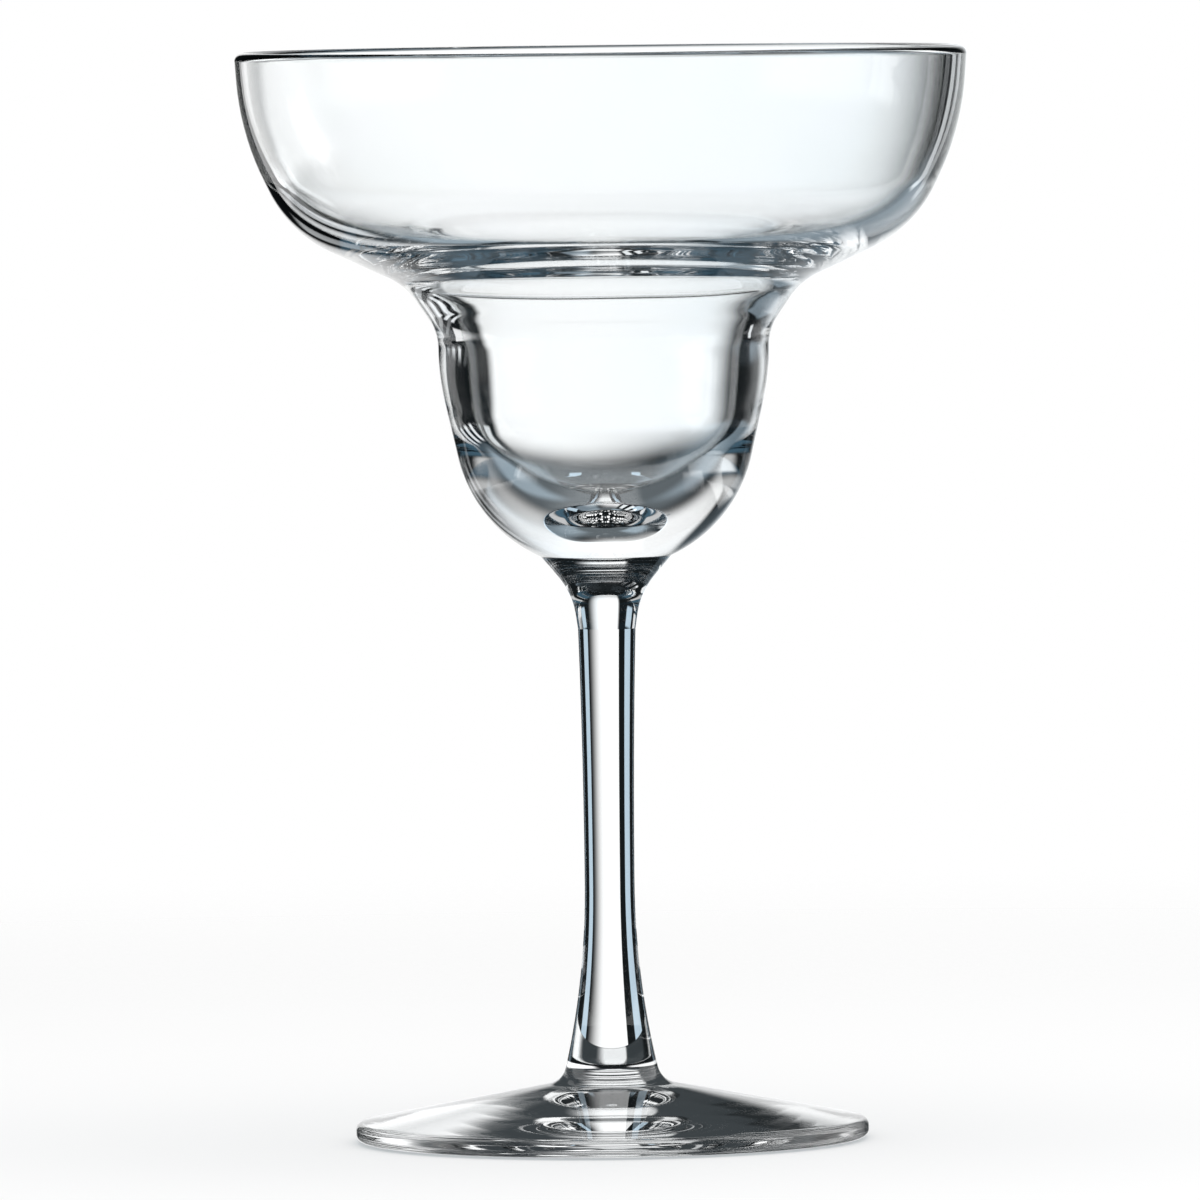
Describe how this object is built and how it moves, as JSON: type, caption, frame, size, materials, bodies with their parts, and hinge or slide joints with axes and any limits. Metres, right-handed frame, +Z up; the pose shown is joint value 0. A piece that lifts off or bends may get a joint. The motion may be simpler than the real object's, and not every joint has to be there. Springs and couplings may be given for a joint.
{
  "type": "margarita glass",
  "caption": "Clear stemmed cocktail glass: a wide shallow bowl that steps down into a small cup, on a slim waisted stem welded to a broad round foot.",
  "frame": {"origin": "centre of the circle that the foot rests on, in the plane of the table", "axes": "+Z up along the glass's axis of turning, from the foot to the rim; X and Y are free, because the glass is round"},
  "size_m": [0.1138, 0.1138, 0.1696],
  "materials": {
    "foot_glass": "clear, fire polished",
    "stem_glass": "clear, fire polished",
    "bowl_glass": "clear, fire polished"
  },
  "bodies": {
    "root": {"foot": "foot_glass", "stem": "stem_glass", "bowl": "bowl_glass"}
  },
  "joints": []
}
